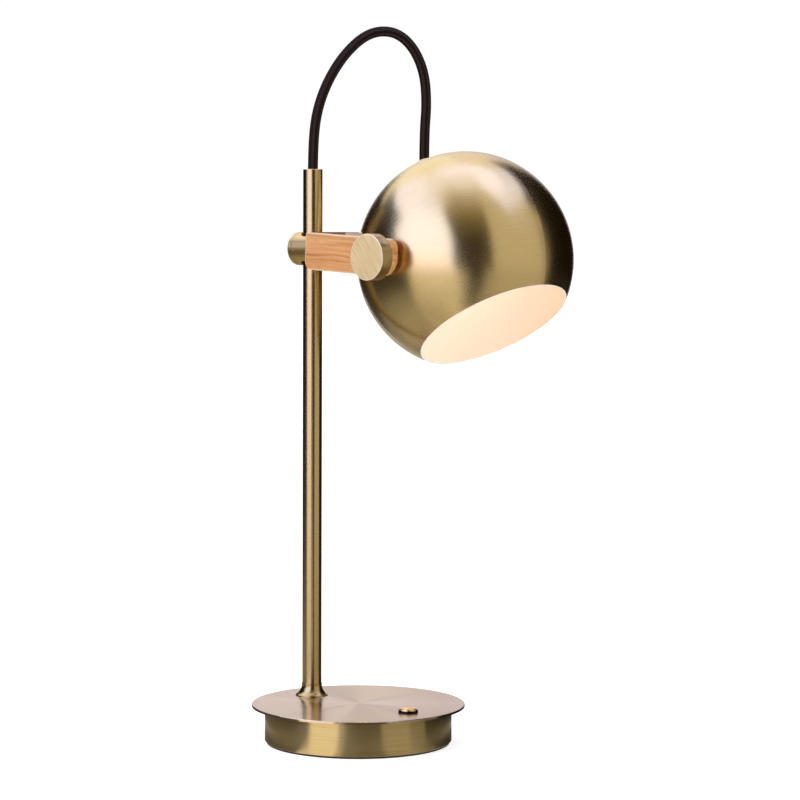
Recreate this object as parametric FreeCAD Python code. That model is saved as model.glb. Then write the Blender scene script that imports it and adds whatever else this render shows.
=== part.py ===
"""Cordless table lamp: round weighted base, side post, wooden arm and a tilting ball shade.

Millimetres, +Z up. The origin is the centre of the base on the table, +X is the
direction of the arm, from the post to the shade, and the tilt knob faces -Y.
"""
import FreeCAD
import Part
import math
import os

# Base
base_height = 27.3
disc_overhang = 9.2
disc_thickness = 1.6
disc_round = 0.4
drum_diameter = 131.6
drum_wall = 2.4
foot_thickness = 1.5
foot_inset = 1.3
cover_thickness = 2.0
cover_gap = 0.2

# Bosses that the bottom cover is screwed to
boss_radius = 4.0
boss_inset = 8.9
boss_angles = (30.0, 150.0, 270.0)
cover_screw_radius = 1.5
cover_screw_head_radius = 2.9
cover_screw_head_height = 1.6
cover_screw_length = 10.0

# Ballast and battery
ballast_gap = 2.9
pocket_gap = 0.5
pocket_wall = 5.2
battery_height = 8.0
battery_inset = 15.0
battery_clearance = 2.0
battery_corner = 2.5

# Control board, its push switch and the charging socket
board_length = 38.0
board_width = 18.0
board_thickness = 1.6
board_corner = 2.0
board_overhang = 8.4
board_drop = 8.6
spacer_height = 2.5
spacer_radius = 2.5
spacer_inset = 3.0
board_screw_radius = 1.0
board_screw_head_radius = 1.9
board_screw_head_height = 1.4
board_screw_grip = 3.0
switch_side = 6.0
switch_height = 3.4
plunger_radius = 1.7
plunger_height = 1.0
socket_width = 8.9
socket_height = 3.2
socket_depth = 7.3
socket_wall = 0.3
socket_recess = 0.6
socket_tongue_width = 6.7
socket_tongue_thickness = 0.7
socket_board_width = 16.0
socket_board_length = 12.0
socket_gap = 0.25

# Push button
button_inset = 16.2
bezel_diameter = 13.6
bezel_height = 2.2
bezel_tube_diameter = 12.9
bezel_tube_drop = 6.0
bezel_round = 0.5
cap_diameter = 11.6
cap_side = 2.6
cap_dome = 0.9
cap_rise = 0.4
button_gap = 0.12
button_travel = 1.0
stem_radius = 1.6

# Post
post_inset = 17.8
post_diameter = 13.8
post_bore = 10.8
post_top = 403.0
post_edge = 0.3
nipple_bore = 6.8
nipple_grip = 15.0
nipple_drop = 6.9
washer_diameter = 19.0
washer_thickness = 1.2
nut_across = 17.0
nut_height = 4.5
collar_height = 8.6
collar_rim_diameter = 23.2
collar_rim_height = 0.5
collar_lip = 0.35
collar_sag = 1.5
end_bush_length = 7.0
lead_diameter = 5.0
lead_end_gap = 0.7

# Clamp on the post
clamp_drop = 56.2
clamp_diameter = 23.7
clamp_rear = 14.1
clamp_knob_thickness = 3.9
clamp_knob_gap = 0.3
clamp_stud_radius = 2.0
clamp_edge = 0.4
liner_wall = 1.15
liner_half_height = 8.4
nose_reach = 15.3
nose_screw_rise = 5.0
nose_screw_back = 3.2
nose_screw_radius = 1.75
nose_screw_head_radius = 3.0
nose_screw_head_height = 3.0
nose_screw_seat = 5.0
nose_screw_grip = 7.5

# Wooden arm
arm_thickness = 9.5
arm_height = 25.9
arm_rear = -5.5
arm_dip = 3.12
arm_start = 8.0
arm_end = 11.5
arm_low_start_round = 6.0
arm_top_start_round = 0.9
arm_top_end_round = 7.0
arm_low_end_round = 12.0
arm_edge = 0.7
shoulder_gap = 0.2

# Level plate behind the arm
spine_thickness = 3.0
spine_top = 11.8
spine_start = 8.9
spine_joint = 39.1
spine_end = 53.6
spine_end_round = 2.0
spine_gap = 0.1
spine_screw_radius = 1.6
spine_screw_head_radius = 3.0
spine_screw_sink = 1.5
spine_screw_grip = 6.5
spine_screw_places = (20.0, 31.0, 46.0)

# Tilt joint
pivot_reach = 79.8
pivot_drop = 5.4
knob_diameter = 32.2
knob_thickness = 9.3
knob_gap = 0.3
knob_bevel = 0.6
knob_web = 3.0
spindle_diameter = 8.0
bush_diameter = 12.0
flange_diameter = 19.0
friction_thickness = 1.0
friction_diameter = 17.0
tail_diameter = 10.0
pad_diameter = 24.0
pad_seat = 3.7
spindle_nut_across = 17.0
spindle_nut_height = 4.0
tail_spare = 0.8

# Shade, whose centre hangs a little below the tilt axis
shade_diameter = 153.7
shade_wall = 0.9
shade_gap = 2.0
shade_sag = 2.2
mouth_half_angle = 46.1
mouth_tilt = 31.7

# Cord gland and lamp holder, measured along the axis of the shade
gland_diameter = 15.2
gland_height = 5.0
gland_round = 2.4
gland_tube_diameter = 12.0
gland_tube_bore = 6.0
gland_tube_reach = 9.4
gland_nut_across = 16.0
gland_nut_height = 3.5
holder_cup_diameter = 36.0
holder_cup_wall = 1.5
holder_cup_depth = 26.0
ring_nut_diameter = 22.0
ring_nut_height = 3.0
holder_core_diameter = 26.0
holder_core_length = 24.0
holder_flange_thickness = 3.0
bulb_cap_diameter = 14.0
bulb_cap_length = 19.0
bulb_diameter = 40.0
bulb_length = 40.0
bulb_neck_diameter = 15.0
bulb_wall = 0.8

# Cord
cord_diameter = 7.1
cord_seat = 1.6
cord_gap = 0.3

# Clearances and overruns
running_gap = 0.05
overrun = 40.0
small_overrun = 1.0
same_place = 0.001

# Places that follow from the sizes above
post_radius = post_diameter / 2
clamp_radius = clamp_diameter / 2
drum_radius = drum_diameter / 2
disc_radius = drum_radius + disc_overhang
post_x = post_inset - drum_radius
button_x = drum_radius - button_inset
drum_top = base_height - disc_thickness
drum_roof = drum_top - drum_wall
cavity_radius = drum_radius - drum_wall
boss_circle_radius = cavity_radius - boss_inset
ballast_radius = cavity_radius - ballast_gap
battery_far = ballast_radius - battery_inset
battery_near = board_width / 2 + battery_clearance
battery_half = math.sqrt((ballast_radius - pocket_wall) ** 2 - (battery_far + pocket_gap) ** 2) - pocket_gap
cover_top = foot_thickness + cover_thickness
board_top = base_height - board_drop
board_bottom = board_top - board_thickness
ballast_top = board_bottom - spacer_height
switch_top = board_top + switch_height
socket_bottom = ballast_top + board_thickness
liner_radius = post_radius + running_gap + liner_wall
bore_radius = liner_radius + running_gap
clamp_height = post_top - clamp_drop
pivot_x = post_x + pivot_reach
pivot_height = clamp_height - pivot_drop
clamp_rear_x = post_x - clamp_rear
nose_end = post_x + nose_reach
nose_screw_x = nose_end - nose_screw_back
spine_rear = arm_rear + spine_thickness
spindle_nut_seat = arm_rear + shade_gap + pad_seat
arm_front = arm_rear - arm_thickness
knob_back = arm_front - knob_gap
knob_face = knob_back - knob_thickness
shade_radius = shade_diameter / 2
shade_inner_radius = shade_radius - shade_wall
shade_y = arm_rear + shade_gap + shade_radius
arm_turn = math.radians(arm_dip)
shoulder_x = (pivot_x - (pivot_reach - arm_start) * math.cos(arm_turn)
              - arm_height / 2 * math.sin(arm_turn) - shoulder_gap)
cord_radius = cord_diameter / 2
tube_end = shade_inner_radius - gland_tube_reach

# Directions and centres
along_x = FreeCAD.Vector(1, 0, 0)
along_y = FreeCAD.Vector(0, 1, 0)
up = FreeCAD.Vector(0, 0, 1)
origin = FreeCAD.Vector(0, 0, 0)
pivot = FreeCAD.Vector(pivot_x, 0, pivot_height)
shade_centre = FreeCAD.Vector(pivot_x, shade_y, pivot_height - shade_sag)


def rod(radius, start, end, x=0.0, y=0.0):
    """Upright cylinder between two heights."""
    return Part.makeCylinder(radius, end - start, FreeCAD.Vector(x, y, start))


def ring(outer, inner, start, end, x=0.0, y=0.0):
    """Upright tube between two heights."""
    hole = rod(inner, start - small_overrun, end + small_overrun, x, y)
    return rod(outer, start, end, x, y).cut(hole)


def cross_rod(radius, start, end, x, z):
    """Cylinder along Y between two depths."""
    return Part.makeCylinder(radius, end - start, FreeCAD.Vector(x, start, z), along_y)


def cross_ring(outer, inner, start, end, x, z):
    """Tube along Y between two depths."""
    hole = cross_rod(inner, start - small_overrun, end + small_overrun, x, z)
    return cross_rod(outer, start, end, x, z).cut(hole)


def level_rod(radius, start, end, z):
    """Cylinder along X between two places."""
    return Part.makeCylinder(radius, end - start, FreeCAD.Vector(start, 0, z), along_x)


def block(low_x, high_x, low_y, high_y, low_z, high_z):
    """Box between two corners."""
    corner = FreeCAD.Vector(low_x, low_y, low_z)
    return Part.makeBox(high_x - low_x, high_y - low_y, high_z - low_z, corner)


def upright_edges(shape):
    """Edges that run along Z."""
    found = []
    for edge in shape.Edges:
        box = edge.BoundBox
        if box.XLength < same_place and box.YLength < same_place:
            found.append(edge)
    return found


def rim_edges(shape, height):
    """Edges whose whole length lies at one height."""
    found = []
    for edge in shape.Edges:
        box = edge.BoundBox
        if abs(box.ZMin - height) < same_place and abs(box.ZMax - height) < same_place:
            found.append(edge)
    return found


def depth_edges(shape, depth):
    """Edges whose whole length lies at one place along Y."""
    found = []
    for edge in shape.Edges:
        box = edge.BoundBox
        if abs(box.YMin - depth) < same_place and abs(box.YMax - depth) < same_place:
            found.append(edge)
    return found


def hexagon(across, start, end, bore):
    """Hexagon nut along Z, with its bore."""
    corner = across / math.sqrt(3)
    points = []
    for step in range(7):
        angle = math.radians(60 * step)
        points.append(FreeCAD.Vector(corner * math.cos(angle), corner * math.sin(angle), start))
    solid = Part.Face(Part.makePolygon(points)).extrude(up * (end - start))
    return solid.cut(rod(bore, start - small_overrun, end + small_overrun))


def turned(edges):
    """Solid of revolution about Z from a closed outline in the XZ plane."""
    wire = Part.Wire(Part.__sortEdges__(edges))
    return Part.Face(wire).revolve(origin, up, 360)


def flat(radius, height):
    """Point of a turned outline."""
    return FreeCAD.Vector(radius, 0, height)


def line(start, end):
    """Straight edge."""
    return Part.LineSegment(start, end).toShape()


def bend(start, middle, end):
    """Arc through three points."""
    return Part.Arc(start, middle, end).toShape()


def boss_places():
    """Centres of the bosses inside the drum."""
    places = []
    for angle in boss_angles:
        turn = math.radians(angle)
        places.append((boss_circle_radius * math.cos(turn), boss_circle_radius * math.sin(turn)))
    return places


def board_screw_places():
    """Centres of the screws of the control board."""
    far = button_x + board_overhang - spacer_inset
    near = button_x + board_overhang - board_length + spacer_inset
    side = board_width / 2 - spacer_inset
    return [(near, -side), (near, side), (far, -side), (far, side)]


def make_base_disc():
    """Thin round plate on top of the drum."""
    plate = rod(disc_radius, drum_top, base_height)
    plate = plate.makeFillet(disc_round, rim_edges(plate, base_height))
    above = base_height + small_overrun
    plate = plate.cut(rod(post_bore / 2, drum_roof, above, post_x))
    return plate.cut(rod(bezel_tube_diameter / 2 + running_gap, drum_roof, above, button_x))


def slot_prism(width, height, start, end, low):
    """Prism along Y with half-round ends, standing on a height."""
    half = height / 2
    reach = width / 2 - half
    middle = block(-reach, reach, start, end, low, low + height)
    left = cross_rod(half, start, end, -reach, low + half)
    right = cross_rod(half, start, end, reach, low + half)
    return middle.fuse([left, right]).removeSplitter()


def make_base_drum():
    """Hollow drum with a roof, three bosses and the opening for the charging socket."""
    drum = rod(drum_radius, foot_thickness, drum_top)
    drum = drum.makeChamfer(disc_round, rim_edges(drum, foot_thickness))
    drum = drum.cut(rod(cavity_radius, 0, drum_roof))
    for x, y in boss_places():
        drum = drum.fuse(rod(boss_radius, cover_top, drum_roof, x, y))
    for x, y in boss_places():
        screw_top = foot_thickness + cover_screw_length + running_gap
        drum = drum.cut(rod(cover_screw_radius + running_gap, 0, screw_top, x, y))
    below = drum_roof - small_overrun
    drum = drum.cut(rod(post_bore / 2, below, base_height, post_x))
    drum = drum.cut(rod(bezel_tube_diameter / 2 + running_gap, below, base_height, button_x))
    low = socket_bottom - socket_gap
    opening = slot_prism(socket_width + 2 * socket_gap, socket_height + 2 * socket_gap,
                         ballast_radius, drum_radius + small_overrun, low)
    return drum.cut(opening)


def make_foot_pad():
    """Rubber disc under the base."""
    return rod(drum_radius - foot_inset, 0, foot_thickness)


def make_bottom_cover():
    """Steel plate that closes the drum."""
    cover = rod(cavity_radius - cover_gap, foot_thickness, cover_top)
    for x, y in boss_places():
        sink = rod(cover_screw_head_radius + running_gap, 0, foot_thickness + cover_screw_head_height, x, y)
        passage = rod(cover_screw_radius + running_gap, 0, cover_top + small_overrun, x, y)
        cover = cover.cut(sink.fuse(passage))
    return cover


def make_cover_screws():
    """Three screws that hold the cover to the bosses."""
    screws = []
    for x, y in boss_places():
        head = rod(cover_screw_head_radius, foot_thickness, foot_thickness + cover_screw_head_height, x, y)
        shank = rod(cover_screw_radius, foot_thickness, foot_thickness + cover_screw_length, x, y)
        screws.append(head.fuse(shank))
    return Part.makeCompound(screws)


def make_ballast_plate():
    """Cast ballast with a pocket for the battery."""
    plate = rod(ballast_radius, cover_top, ballast_top)
    half = battery_half + pocket_gap
    pocket_far = -battery_far - pocket_gap
    pocket_near = pocket_gap - battery_near
    plate = plate.cut(block(-half, half, pocket_far, pocket_near, 0, base_height))
    for x, y in boss_places():
        plate = plate.cut(rod(boss_radius + pocket_gap, 0, base_height, x, y))
    thread_end = ballast_top - board_screw_grip
    for x, y in board_screw_places():
        plate = plate.cut(rod(board_screw_radius + running_gap, thread_end, base_height, x, y))
    return plate


def make_battery_pack():
    """Flat rechargeable pack on the bottom cover."""
    pack = block(-battery_half, battery_half, -battery_far, -battery_near,
                 cover_top, cover_top + battery_height)
    return pack.makeFillet(battery_corner, upright_edges(pack))


def make_control_board():
    """Circuit board under the push button."""
    far = button_x + board_overhang
    half = board_width / 2
    board = block(far - board_length, far, -half, half, board_bottom, board_top)
    board = board.makeFillet(board_corner, upright_edges(board))
    for x, y in board_screw_places():
        board = board.cut(rod(board_screw_radius + running_gap, 0, base_height, x, y))
    return board


def make_board_spacers():
    """Four sleeves between the ballast and the board."""
    sleeves = []
    for x, y in board_screw_places():
        sleeves.append(ring(spacer_radius, board_screw_radius + running_gap, ballast_top, board_bottom, x, y))
    return Part.makeCompound(sleeves)


def make_board_screws():
    """Four small screws through the board into the ballast."""
    screws = []
    for x, y in board_screw_places():
        head = rod(board_screw_head_radius, board_top, board_top + board_screw_head_height, x, y)
        shank = rod(board_screw_radius, ballast_top - board_screw_grip, board_top, x, y)
        screws.append(head.fuse(shank))
    return Part.makeCompound(screws)


def make_push_switch():
    """Square push switch on the board, with its plunger."""
    half = switch_side / 2
    body = block(button_x - half, button_x + half, -half, half, board_top, switch_top)
    return body.fuse(rod(plunger_radius, switch_top, switch_top + plunger_height, button_x))


def make_socket_board():
    """Small board that carries the charging socket."""
    half = socket_board_width / 2
    return block(-half, half, ballast_radius - socket_board_length, ballast_radius,
                 ballast_top, socket_bottom)


def make_usb_socket():
    """Charging socket in the back of the drum: a shell with a tongue."""
    front = drum_radius - socket_recess
    back = front - socket_depth
    shell = slot_prism(socket_width, socket_height, back, front, socket_bottom)
    hollow = slot_prism(socket_width - 2 * socket_wall, socket_height - 2 * socket_wall,
                        back + 2 * socket_wall, front + small_overrun, socket_bottom + socket_wall)
    half = socket_tongue_width / 2
    middle = socket_bottom + socket_height / 2
    tongue = block(-half, half, back, front - 2 * socket_wall,
                   middle - socket_tongue_thickness / 2, middle + socket_tongue_thickness / 2)
    return shell.cut(hollow).fuse(tongue)


def make_button_bezel():
    """Black ring round the button, with a tube down through the disc and the roof."""
    top = base_height + bezel_height
    flange = rod(bezel_diameter / 2, base_height, top, button_x)
    flange = flange.makeFillet(bezel_round, rim_edges(flange, top))
    sleeve = rod(bezel_tube_diameter / 2, base_height - bezel_tube_drop, base_height, button_x)
    bore = rod(cap_diameter / 2 + button_gap, 0, top + small_overrun, button_x)
    return flange.fuse(sleeve).cut(bore)


def make_button_cap():
    """Slightly domed cap with its stem, turned about its own axis."""
    radius = cap_diameter / 2
    edge = base_height + bezel_height + cap_rise
    low = edge - cap_side
    stem_low = switch_top + plunger_height + button_travel + running_gap
    crown = edge + cap_dome
    chord_share = 0.52
    sphere_radius = (radius ** 2 + cap_dome ** 2) / (2 * cap_dome)
    middle_radius = radius * chord_share
    middle = crown - sphere_radius + math.sqrt(sphere_radius ** 2 - middle_radius ** 2)
    outline = [
        line(flat(0, stem_low), flat(stem_radius, stem_low)),
        line(flat(stem_radius, stem_low), flat(stem_radius, low)),
        line(flat(stem_radius, low), flat(radius, low)),
        line(flat(radius, low), flat(radius, edge)),
        bend(flat(radius, edge), flat(middle_radius, middle), flat(0, crown)),
        line(flat(0, crown), flat(0, stem_low)),
    ]
    cap = turned(outline)
    cap.translate(along_x * button_x)
    return cap


def make_post_tube():
    """Straight tube of the post."""
    post = rod(post_radius, base_height, post_top, post_x)
    post = post.makeChamfer(post_edge, rim_edges(post, post_top))
    return post.cut(rod(post_bore / 2, 0, post_top + small_overrun, post_x))


def make_post_nipple():
    """Threaded tube that ties the post to the base."""
    return ring(post_bore / 2 - running_gap, nipple_bore / 2, drum_roof - nipple_drop,
                base_height + nipple_grip, post_x)


def make_post_washer():
    """Washer under the roof of the drum."""
    return ring(washer_diameter / 2, post_bore / 2, drum_roof - washer_thickness, drum_roof, post_x)


def make_post_nut():
    """Hexagon nut under the washer."""
    top = drum_roof - washer_thickness
    nut = hexagon(nut_across, top - nut_height, top, post_bore / 2)
    nut.translate(along_x * post_x)
    return nut


def make_post_collar():
    """Trumpet collar at the foot of the post."""
    inner = post_radius + running_gap
    lip = inner + collar_lip
    rim = collar_rim_diameter / 2
    rim_top = base_height + collar_rim_height
    top = base_height + collar_height
    run = rim - lip
    rise = top - rim_top
    chord = math.hypot(run, rise)
    middle = flat((rim + lip) / 2 - collar_sag * rise / chord, (rim_top + top) / 2 - collar_sag * run / chord)
    outline = [
        line(flat(inner, base_height), flat(rim, base_height)),
        line(flat(rim, base_height), flat(rim, rim_top)),
        bend(flat(rim, rim_top), middle, flat(lip, top)),
        line(flat(lip, top), flat(inner, top)),
        line(flat(inner, top), flat(inner, base_height)),
    ]
    collar = turned(outline)
    collar.translate(along_x * post_x)
    return collar


def make_end_bush():
    """Rubber bush that holds the cord in the top of the post."""
    return ring(post_bore / 2 - running_gap, cord_radius + running_gap, post_top - end_bush_length,
                post_top, post_x)


def make_post_lead():
    """Lead inside the post, from the base to the cord."""
    return rod(lead_diameter / 2, ballast_top + lead_end_gap, post_top - end_bush_length, post_x)


def make_clamp_liner():
    """Plastic sleeve that slides on the post inside the clamp."""
    return ring(liner_radius, post_radius + running_gap, clamp_height - liner_half_height,
                clamp_height + liner_half_height, post_x)


def nose_screw_heights():
    """Heights of the two screws through the nose of the clamp."""
    return (clamp_height - nose_screw_rise, clamp_height + nose_screw_rise)


def make_clamp_body():
    """Level cylinder across the post, with a flat nose that the arm is screwed to."""
    start = clamp_rear_x + clamp_knob_thickness + clamp_knob_gap
    body = level_rod(clamp_radius, start, nose_end, clamp_height)
    body = body.cut(rod(bore_radius, 0, post_top + overrun, post_x))
    low = clamp_height - overrun
    high = clamp_height + overrun
    body = body.cut(block(shoulder_x, nose_end + small_overrun, -overrun, arm_rear, low, high))
    plate_start = post_x + spine_start - spine_gap
    body = body.cut(block(plate_start, nose_end + small_overrun, -overrun, spine_rear, low, high))
    body = body.cut(level_rod(clamp_stud_radius + running_gap, start - small_overrun, post_x, clamp_height))
    for height in nose_screw_heights():
        body = body.cut(cross_rod(nose_screw_radius + running_gap, -overrun, overrun, nose_screw_x, height))
        body = body.cut(cross_rod(nose_screw_head_radius + running_gap, nose_screw_seat, overrun,
                                  nose_screw_x, height))
    return body


def make_clamp_knob():
    """Locking knob at the rear end of the clamp, with the stud that presses on the liner."""
    end = clamp_rear_x + clamp_knob_thickness
    knob = level_rod(clamp_radius, clamp_rear_x, end, clamp_height)
    rims = []
    for edge in knob.Edges:
        if abs(edge.BoundBox.XMax - clamp_rear_x) < same_place:
            rims.append(edge)
    knob = knob.makeChamfer(clamp_edge, rims)
    stud_end = post_x - liner_radius - running_gap
    return knob.fuse(level_rod(clamp_stud_radius, end, stud_end, clamp_height))


def on_arm_line(x):
    """Height of the arm's centre line at a place along X."""
    return pivot_height + (pivot_x - x) * math.tan(math.radians(arm_dip))


def spine_screw_xs():
    """Places of the screws from the level plates into the arm."""
    return [post_x + place for place in spine_screw_places]


def spine_screw(x, gap):
    """One countersunk screw along Y, grown by a gap where it is used as a cutter."""
    height = on_arm_line(x)
    radius = spine_screw_radius + gap
    head = Part.makeCone(radius, spine_screw_head_radius + gap, spine_screw_sink,
                         FreeCAD.Vector(x, spine_rear - spine_screw_sink, height), along_y)
    return head.fuse(cross_rod(radius, arm_rear - spine_screw_grip, spine_rear - spine_screw_sink, x, height))


def make_arm_spine():
    """Level dark plate behind the arm."""
    plate = block(post_x + spine_start, post_x + spine_joint, arm_rear, spine_rear,
                  clamp_height - spine_top, clamp_height + spine_top)
    for x in spine_screw_xs():
        plate = plate.cut(spine_screw(x, running_gap))
    for height in nose_screw_heights():
        plate = plate.cut(cross_rod(nose_screw_radius + running_gap, -overrun, overrun, nose_screw_x, height))
    return plate


def make_spine_tip():
    """Brass plate that carries on the spine's line."""
    end = post_x + spine_end
    top = clamp_height + spine_top
    plate = block(post_x + spine_joint + spine_gap, end, arm_rear, spine_rear, clamp_height - spine_top, top)
    corners = []
    for edge in plate.Edges:
        box = edge.BoundBox
        if abs(box.XMin - end) < same_place and abs(box.XMax - end) < same_place:
            if box.YLength > spine_thickness / 2:
                corners.append(edge)
    plate = plate.makeFillet(spine_end_round, corners)
    for x in spine_screw_xs():
        plate = plate.cut(spine_screw(x, running_gap))
    return plate


def make_spine_screws():
    """Three countersunk screws from behind into the arm."""
    return Part.makeCompound([spine_screw(x, 0.0) for x in spine_screw_xs()])


def make_nose_screws():
    """Two cap screws through the nose of the clamp into the arm."""
    screws = []
    for height in nose_screw_heights():
        head = cross_rod(nose_screw_head_radius, nose_screw_seat, nose_screw_seat + nose_screw_head_height,
                         nose_screw_x, height)
        shank = cross_rod(nose_screw_radius, arm_rear - nose_screw_grip, nose_screw_seat,
                          nose_screw_x, height)
        screws.append(head.fuse(shank))
    return Part.makeCompound(screws)


def make_wood_arm():
    """Flat wooden bar with a different round at each corner, dipping towards the pivot."""
    left = pivot_x - pivot_reach + arm_start
    right = pivot_x + arm_end
    low = pivot_height - arm_height / 2
    high = pivot_height + arm_height / 2
    half_turn_share = 1 - math.sqrt(2) / 2

    def point(x, z):
        return FreeCAD.Vector(x, arm_front, z)

    def corner(x, z, toward_x, toward_z, radius):
        start = point(x, z + toward_z * radius)
        middle = point(x + toward_x * radius * half_turn_share, z + toward_z * radius * half_turn_share)
        end = point(x + toward_x * radius, z)
        return start, middle, end

    low_left = corner(left, low, 1, 1, arm_low_start_round)
    top_left = corner(left, high, 1, -1, arm_top_start_round)
    top_right = corner(right, high, -1, -1, arm_top_end_round)
    low_right = corner(right, low, -1, 1, arm_low_end_round)
    outline = [
        bend(*low_left),
        line(low_left[0], top_left[0]),
        bend(*top_left),
        line(top_left[2], top_right[2]),
        bend(*top_right),
        line(top_right[0], low_right[0]),
        bend(*low_right),
        line(low_right[2], low_left[2]),
    ]
    face = Part.Face(Part.Wire(Part.__sortEdges__(outline)))
    bar = face.extrude(along_y * arm_thickness)
    bar = bar.makeFillet(arm_edge, depth_edges(bar, arm_front) + depth_edges(bar, arm_rear))
    bar.rotate(pivot, along_y, arm_dip)
    bar = bar.cut(cross_rod(bush_diameter / 2, -overrun, overrun, pivot_x, pivot_height))
    for x in spine_screw_xs():
        bar = bar.cut(spine_screw(x, running_gap))
    for height in nose_screw_heights():
        bar = bar.cut(cross_rod(nose_screw_radius + running_gap, arm_rear - nose_screw_grip - running_gap,
                                overrun, nose_screw_x, height))
    return bar


def make_tilt_bush():
    """Brass bush in the arm for the tilt spindle."""
    return cross_ring(bush_diameter / 2 - running_gap, spindle_diameter / 2 + running_gap,
                      arm_front, arm_rear, pivot_x, pivot_height)


def make_friction_washer():
    """Fibre washer between the arm and the spindle's flange."""
    return cross_ring(friction_diameter / 2, spindle_diameter / 2 + running_gap,
                      arm_rear, arm_rear + friction_thickness, pivot_x, pivot_height)


def make_tilt_knob():
    """Round tilt knob on the arm's face, screwed on the spindle."""
    knob = cross_rod(knob_diameter / 2, knob_face, knob_back, pivot_x, pivot_height)
    knob = knob.makeChamfer(knob_bevel, depth_edges(knob, knob_face))
    return knob.cut(cross_rod(spindle_diameter / 2 + running_gap, knob_face + knob_web, overrun,
                              pivot_x, pivot_height))


def make_tilt_spindle():
    """Spindle with a flange that seats on the shade and a tail through its wall."""
    flange_front = arm_rear + friction_thickness + running_gap
    seat = Part.makeSphere(shade_radius + running_gap, shade_centre)
    flange = cross_rod(flange_diameter / 2, flange_front, arm_rear + 2 * shade_gap, pivot_x, pivot_height)
    flange = flange.cut(seat)
    stud = cross_rod(spindle_diameter / 2, knob_face + knob_web + knob_gap, flange_front,
                     pivot_x, pivot_height)
    tail = cross_rod(tail_diameter / 2, flange_front, spindle_nut_seat + spindle_nut_height + tail_spare,
                     pivot_x, pivot_height)
    return flange.fuse([stud, tail])


def make_spindle_pad():
    """Pad that fits the inside of the ball and gives the nut a flat seat."""
    pad = cross_rod(pad_diameter / 2, arm_rear, spindle_nut_seat, pivot_x, pivot_height)
    inside = Part.makeSphere(shade_inner_radius - running_gap, shade_centre)
    return pad.common(inside).cut(cross_rod(tail_diameter / 2 + running_gap, -overrun, overrun,
                                            pivot_x, pivot_height))


def make_spindle_nut():
    """Hexagon nut that clamps the ball on the spindle."""
    nut = hexagon(spindle_nut_across, 0, spindle_nut_height, tail_diameter / 2 + running_gap)
    nut.rotate(origin, along_x, -90)
    nut.translate(FreeCAD.Vector(pivot_x, spindle_nut_seat, pivot_height))
    return nut


def place_on_shade(shape):
    """Turn a piece from the shade's own axis into its place."""
    shape.rotate(origin, along_y, -mouth_tilt)
    shape.translate(shade_centre)
    return shape


def ball_point(radius, angle):
    """Point of a ball's outline, at an angle from the pole."""
    turn = math.radians(angle)
    return flat(radius * math.sin(turn), radius * math.cos(turn))


def make_shade_shell():
    """Thin ball, open at the mouth, with holes for the spindle and the gland."""
    mouth_angle = 180 - mouth_half_angle
    mouth_height = shade_radius * math.cos(math.radians(mouth_angle))
    inner_mouth = math.degrees(math.acos(mouth_height / shade_inner_radius))
    outline = [
        bend(ball_point(shade_radius, 0), ball_point(shade_radius, mouth_angle / 2),
             ball_point(shade_radius, mouth_angle)),
        line(ball_point(shade_radius, mouth_angle), ball_point(shade_inner_radius, inner_mouth)),
        bend(ball_point(shade_inner_radius, inner_mouth), ball_point(shade_inner_radius, inner_mouth / 2),
             ball_point(shade_inner_radius, 0)),
        line(ball_point(shade_inner_radius, 0), ball_point(shade_radius, 0)),
    ]
    ball = turned(outline)
    ball = ball.cut(rod(gland_tube_diameter / 2 + running_gap, 0, shade_radius + overrun))
    ball = place_on_shade(ball)
    return ball.cut(cross_rod(tail_diameter / 2 + running_gap, -overrun, shade_y, pivot_x, pivot_height))


# Route of the cord: along its own upright plane from the post to the gland, and up
cord_start_height = post_top - end_bush_length
cord_rises = (23.6, 47.6, 69.4, 90.0, 104.6, 106.2, 96.2, 77.6, 55.4, 33.2)
cord_reaches = (0.0, 1.9, 11.2, 23.8, 41.0, 59.6, 73.6, 82.6, 84.6, 82.8)
cord_arc_share = 0.45


def cord_end():
    """Where the cord ends inside the gland."""
    turn = math.radians(mouth_tilt)
    reach = shade_radius + cord_seat
    return shade_centre + FreeCAD.Vector(-reach * math.sin(turn), 0, reach * math.cos(turn))


def cord_points():
    """Points of the cord's route, from the bush in the post to the gland."""
    start = FreeCAD.Vector(post_x, 0, cord_start_height)
    end = cord_end()
    across = FreeCAD.Vector(end.x - start.x, end.y - start.y, 0)
    across.normalize()
    points = [start]
    for reach, rise in zip(cord_reaches, cord_rises):
        points.append(start + across * reach + up * rise)
    points.append(end)
    return points


def make_cord_gland():
    """Low round gland on the pole, with a hole along the cord's last run and a threaded tube."""
    top = shade_radius + gland_height
    dome = rod(gland_diameter / 2, tube_end, top)
    dome = dome.makeFillet(gland_round, rim_edges(dome, top))
    dome = dome.cut(Part.makeSphere(shade_radius + running_gap))
    stem = rod(gland_tube_diameter / 2, tube_end, shade_radius + cord_seat)
    stem = stem.cut(rod(gland_tube_bore / 2, 0, shade_inner_radius - shade_wall))
    gland = place_on_shade(dome.fuse(stem))
    back = cord_points()[-2] - cord_end()
    back.normalize()
    floor = cord_end() - back * cord_gap
    return gland.cut(Part.makeCylinder(cord_radius + cord_gap, overrun, floor, back))


def gland_nut_top():
    """Height where the corners of the nut meet the inside of the ball."""
    corner = gland_nut_across / math.sqrt(3)
    return math.sqrt(shade_inner_radius ** 2 - corner ** 2) - running_gap


def holder_top():
    """Top of the holder's cup, under the gland's nut."""
    return gland_nut_top() - gland_nut_height


def make_gland_nut():
    """Hexagon nut that holds the gland from inside."""
    top = gland_nut_top()
    nut = hexagon(gland_nut_across, top - gland_nut_height, top, gland_tube_diameter / 2 + running_gap)
    return place_on_shade(nut)


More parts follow.
